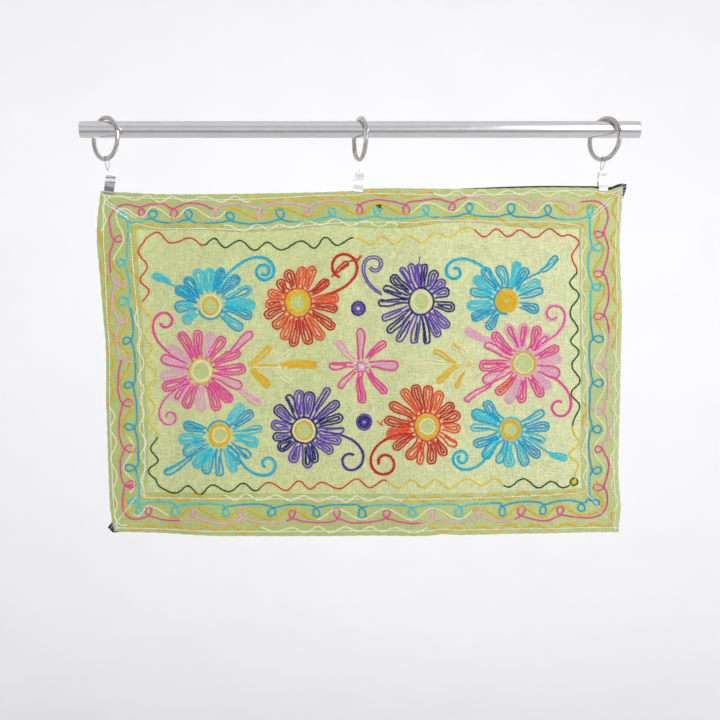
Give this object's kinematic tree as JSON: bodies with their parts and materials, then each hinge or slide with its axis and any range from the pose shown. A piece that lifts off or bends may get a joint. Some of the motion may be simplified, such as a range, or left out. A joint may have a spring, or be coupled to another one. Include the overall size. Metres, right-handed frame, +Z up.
{
  "type": "embroidered tapestry on a curtain rod with clip rings",
  "caption": "Lined embroidered textile hanging with mitred borders, held by clip rings on a round steel curtain rod.",
  "frame": {"origin": "middle of the rod's axis", "axes": "+X along the rod to the viewer's right, +Z up, -Y towards the viewer"},
  "size_m": [0.66, 0.0516, 0.4961],
  "materials": {
    "rod_steel": "brushed along the rod",
    "ring_steel": "satin nickel-plated steel",
    "clip_steel": "bright stamped steel",
    "field_cloth": "slubby pale green linen weave",
    "border_cloth": "plain olive green weave",
    "navy_cloth": "plain navy weave",
    "thread": "stranded embroidery thread in many colours"
  },
  "bodies": {
    "root": {"rod": "rod_steel", "ring_left": "ring_steel", "ring_middle": "ring_steel", "ring_right": "ring_steel", "link_left": "ring_steel", "link_middle": "ring_steel", "link_right": "ring_steel", "clip_left_back": "clip_steel", "clip_left_front": "clip_steel", "clip_left_pin": "clip_steel", "clip_middle_back": "clip_steel", "clip_middle_front": "clip_steel", "clip_middle_pin": "clip_steel", "clip_right_back": "clip_steel", "clip_right_front": "clip_steel", "clip_right_pin": "clip_steel", "field_panel": "field_cloth", "border_top": "border_cloth", "border_bottom": "border_cloth", "border_left": "border_cloth", "border_right": "border_cloth", "backing": "navy_cloth"}
  },
  "joints": []
}
